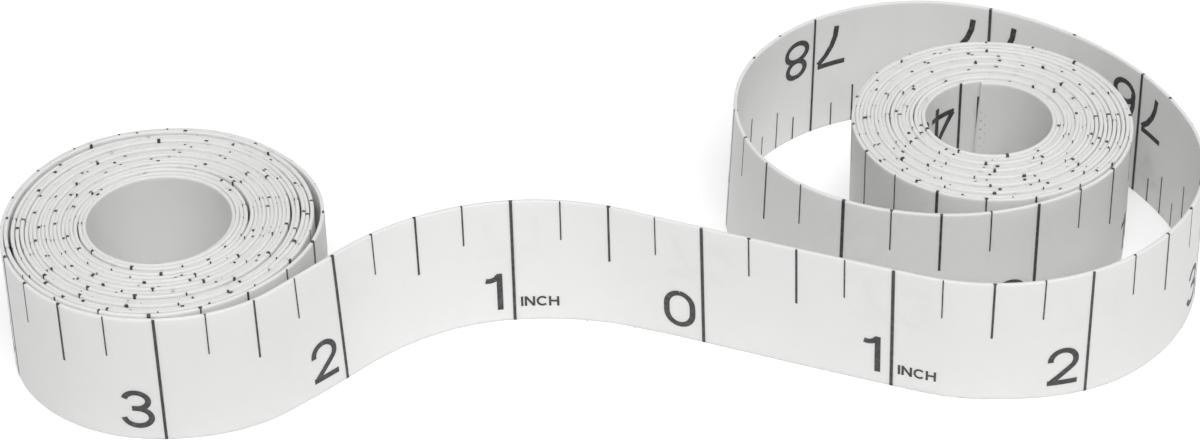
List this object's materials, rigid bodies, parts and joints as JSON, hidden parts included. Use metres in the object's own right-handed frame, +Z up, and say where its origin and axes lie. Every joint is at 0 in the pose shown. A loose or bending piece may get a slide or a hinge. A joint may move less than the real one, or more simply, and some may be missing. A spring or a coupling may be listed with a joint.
{
  "type": "cloth tape measure",
  "caption": "Flexible cloth measuring tape standing on its edge, wound into an open roll at each end, with a loose turn round the right roll and a bowed run of tape joining the rolls.",
  "frame": {"origin": "on the surface the tape stands on, under the middle of its plan", "axes": "+X from the left roll to the right roll, +Y from the printed front to the back, +Z up across the tape's width"},
  "size_m": [0.1538, 0.069, 0.0191],
  "materials": {
    "tape": "white vinyl coating over fine woven cloth, satin"
  },
  "bodies": {
    "right_coil": {"right_roll": "tape", "loose_loop": "tape", "right_lead": "tape"},
    "bridge": {"bridge": "tape"},
    "left_coil": {"left_lead": "tape", "left_roll": "tape"}
  },
  "joints": [
    {"name": "right_flex", "type": "hinge", "parent": "right_coil", "child": "bridge", "pos_m": [0.00222, -0.01409, 0], "axis": [0, 0, 1], "range_deg": [-30, 30]},
    {"name": "left_flex", "type": "hinge", "parent": "bridge", "child": "left_coil", "pos_m": [-0.02647, -0.01579, 0], "axis": [0, 0, 1], "range_deg": [-30, 30]}
  ]
}
